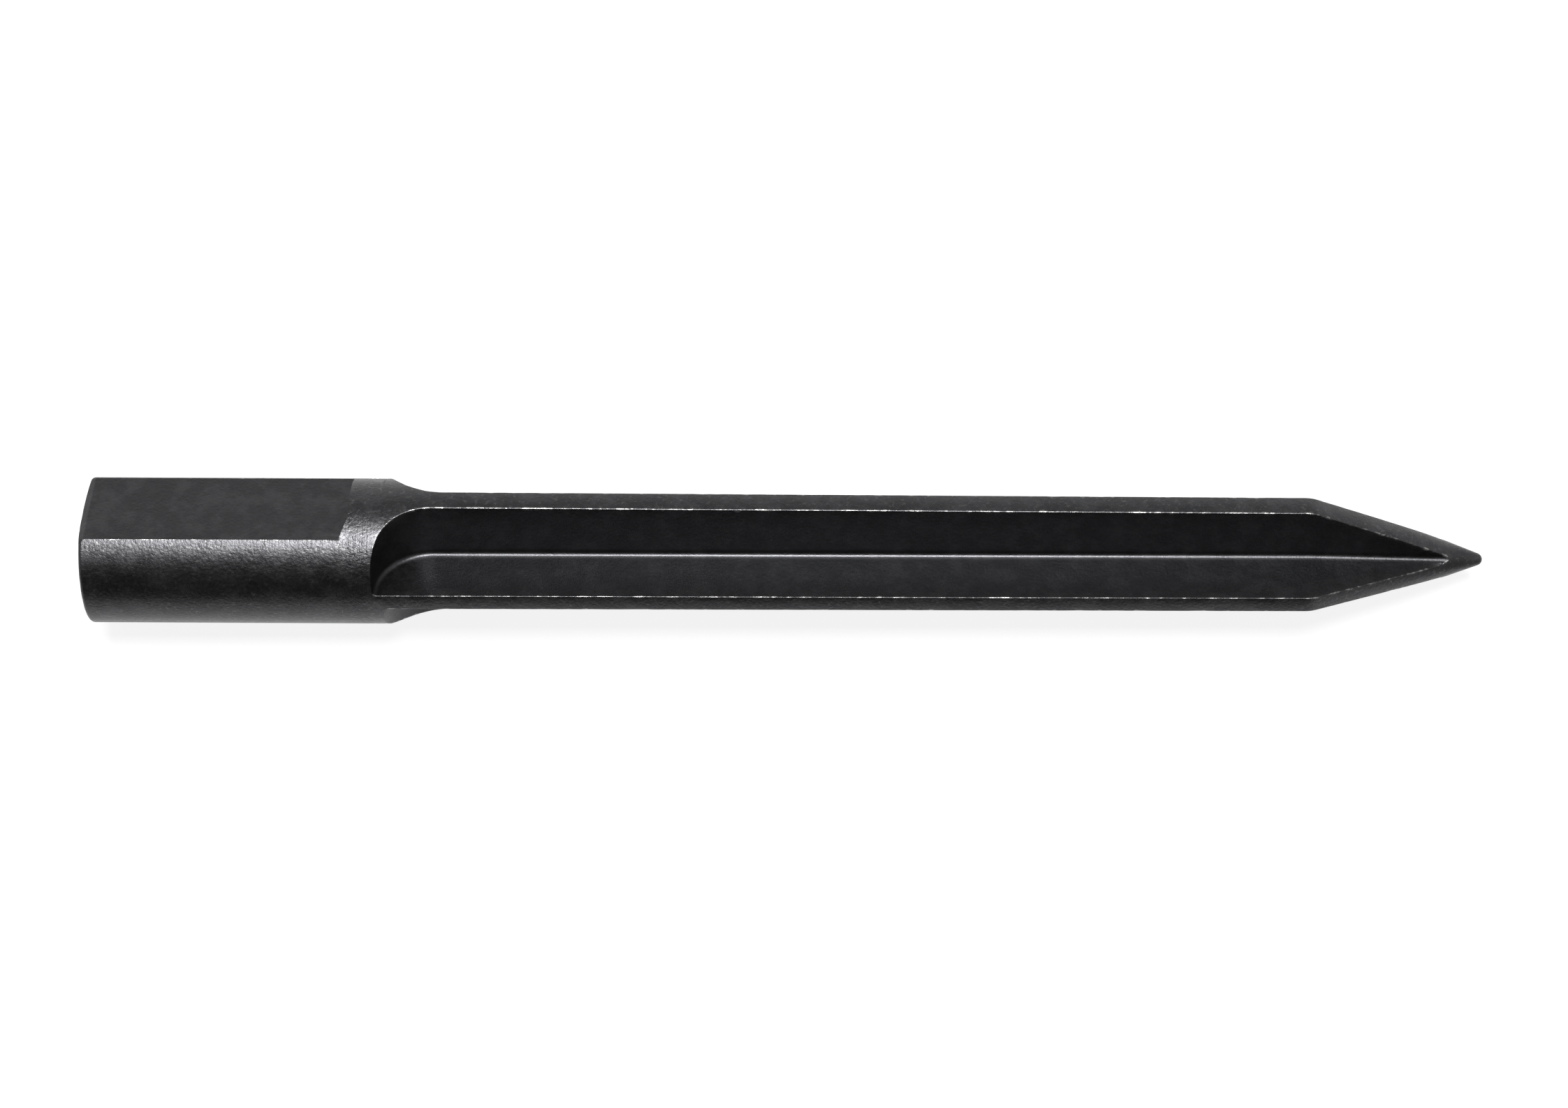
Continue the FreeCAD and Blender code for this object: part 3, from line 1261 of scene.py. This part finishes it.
@dataclass(frozen=True)
class PaleBoard:
    """Matt white board, for the floor."""

    colour: tuple[float, float, float] = (0.12, 0.12, 0.12)
    glow: float = 0.86
    roughness: float = 0.8
    fibre_size: float = 0.004
    fibre_roughness: float = 0.1

    def material(self) -> bpy.types.Material:
        """Make the material.

        Returns:
            A material that glows evenly, so that the floor stays pale under any light.
        """
        material = bpy.data.materials.new("pale_board")
        material.use_nodes = True
        sheet = NodeSheet(material.node_tree)
        place = sheet.output("ShaderNodeTexCoord", {}, {}, "Object")
        fibre = sheet.noise(place, 1.0 / self.fibre_size, 3.0)
        rough = self.roughness + (fibre - 0.5) * self.fibre_roughness
        board = sheet.output("ShaderNodeBsdfPrincipled", {},
                             {"Base Color": (*self.colour, 1.0), "Roughness": rough,
                              "Emission Color": (1.0, 1.0, 1.0, 1.0), "Emission Strength": self.glow})
        sheet.add("ShaderNodeOutputMaterial", {}, {"Surface": board})
        return material


# ---- the studio ---------------------------------------------------------------------------------


@dataclass
class Studio:
    """The floor that the punch lies on, the lights and the camera."""

    punch: FlutedPunch
    floor_size: float = 3.0
    floor_gap: float = 1e-5
    key_distance: float = 0.9
    key_lean: float = math.radians(17.0)
    key_size: float = 0.24
    key_irradiance: float = 6.5
    bright_side: float = 0.42
    dark_side: float = 0.04
    end_light: float = 0.5
    side_band: tuple[float, float] = (-0.6, 0.9)
    end_band: tuple[float, float] = (0.12, 0.6)
    camera_height: float = 0.3612
    camera_place: tuple[float, float] = (-0.00014, -0.00013)
    camera_turn: float = 0.0046
    lens: float = 75.8

    def lay_floor(self, finish: bpy.types.Material) -> bpy.types.Object:
        """Lay the floor under the shank's end and the tips of the two lower arms.

        Args:
            finish: The floor's material.

        Returns:
            The floor.
        """
        bar = self.punch.bar
        flutes = self.punch.upright_flutes
        radius = bar.radius(bar.shoulder_start)
        along = bar.shoulder_start - bar.length / 2.0
        contacts = [Vector((bar.taper_from - bar.length / 2.0, 0.0, 0.0))]
        for half, way in ((flutes.rib_thickness / 2.0, 1.0), (flutes.web_thickness / 2.0, -1.0)):
            reach = math.sqrt(radius ** 2 - half ** 2)
            across, down = (reach - half) * math.sqrt(0.5), (reach + half) * math.sqrt(0.5)
            contacts.append(Vector((along, -across * way, bar.shank_radius - down)))
        normal = (contacts[1] - contacts[0]).cross(contacts[2] - contacts[0]).normalized()
        if normal.z < 0.0:
            normal.negate()
        corners = []
        for x, y in ((-1, -1), (1, -1), (1, 1), (-1, 1)):
            place = Vector((x, y, 0.0)) * self.floor_size / 2.0
            place.z = contacts[0].z - (place - contacts[0]).dot(normal) / normal.z - self.floor_gap
            corners.append(place)
        mesh = bpy.data.meshes.new("floor")
        mesh.from_pydata(corners, [], [(0, 1, 2, 3)])
        mesh.materials.append(finish)
        floor = bpy.data.objects.new("floor", mesh)
        bpy.context.scene.collection.objects.link(floor)
        return floor

    def hang_key(self) -> None:
        """Hang the main softbox over the punch, leaning to its far side."""
        light = bpy.data.lights.new("key", "AREA")
        light.shape = "SQUARE"
        light.size = self.key_size
        light.energy = self.key_irradiance * math.pi * self.key_distance ** 2
        key = bpy.data.objects.new("key", light)
        turn = Matrix.Rotation(-self.key_lean, 4, "X")
        key.matrix_world = turn @ Matrix.Translation((0.0, 0.0, self.key_distance))
        bpy.context.scene.collection.objects.link(key)

    def fill(self) -> None:
        """Fill the room with soft light, brighter on the far side and past both ends."""
        world = bpy.data.worlds.new("room")
        world.use_nodes = True
        sheet = NodeSheet(world.node_tree)
        way = sheet.output("ShaderNodeTexCoord", {}, {}, "Generated")
        split = sheet.add("ShaderNodeSeparateXYZ", {}, {0: way})
        across = Value(sheet, split.outputs["Y"]).rise(*self.side_band)
        endways = Value(sheet, split.outputs["X"])
        ends = (endways * endways).rise(*self.end_band)
        strength = self.dark_side + across * (self.bright_side - self.dark_side) + ends * self.end_light
        white = (1.0, 1.0, 1.0, 1.0)
        room = sheet.output("ShaderNodeBackground", {}, {"Color": white, "Strength": strength})
        sheet.add("ShaderNodeOutputWorld", {}, {"Surface": room})
        bpy.context.scene.world = world

    def aim_camera(self) -> None:
        """Hang the camera straight over the punch."""
        camera = bpy.data.cameras.new("camera")
        camera.lens = self.lens
        holder = bpy.data.objects.new("camera", camera)
        holder.location = (*self.camera_place, self.punch.bar.shank_radius + self.camera_height)
        holder.rotation_euler = (0.0, 0.0, self.camera_turn)
        bpy.context.scene.collection.objects.link(holder)
        bpy.context.scene.camera = holder

    def build(self) -> None:
        """Set up the whole studio."""
        self.lay_floor(PaleBoard().material())
        self.hang_key()
        self.fill()
        self.aim_camera()
        bpy.context.scene.view_settings.view_transform = "Standard"


def main() -> None:
    """Build the punch and its studio."""
    logging.basicConfig(level=logging.INFO, format="%(name)s: %(message)s")
    punch = FlutedPunch.from_frame("fluted_punch")
    punch.build(BlackenedSteel().material())
    Studio(punch).build()


if __name__ == "__main__":
    main()
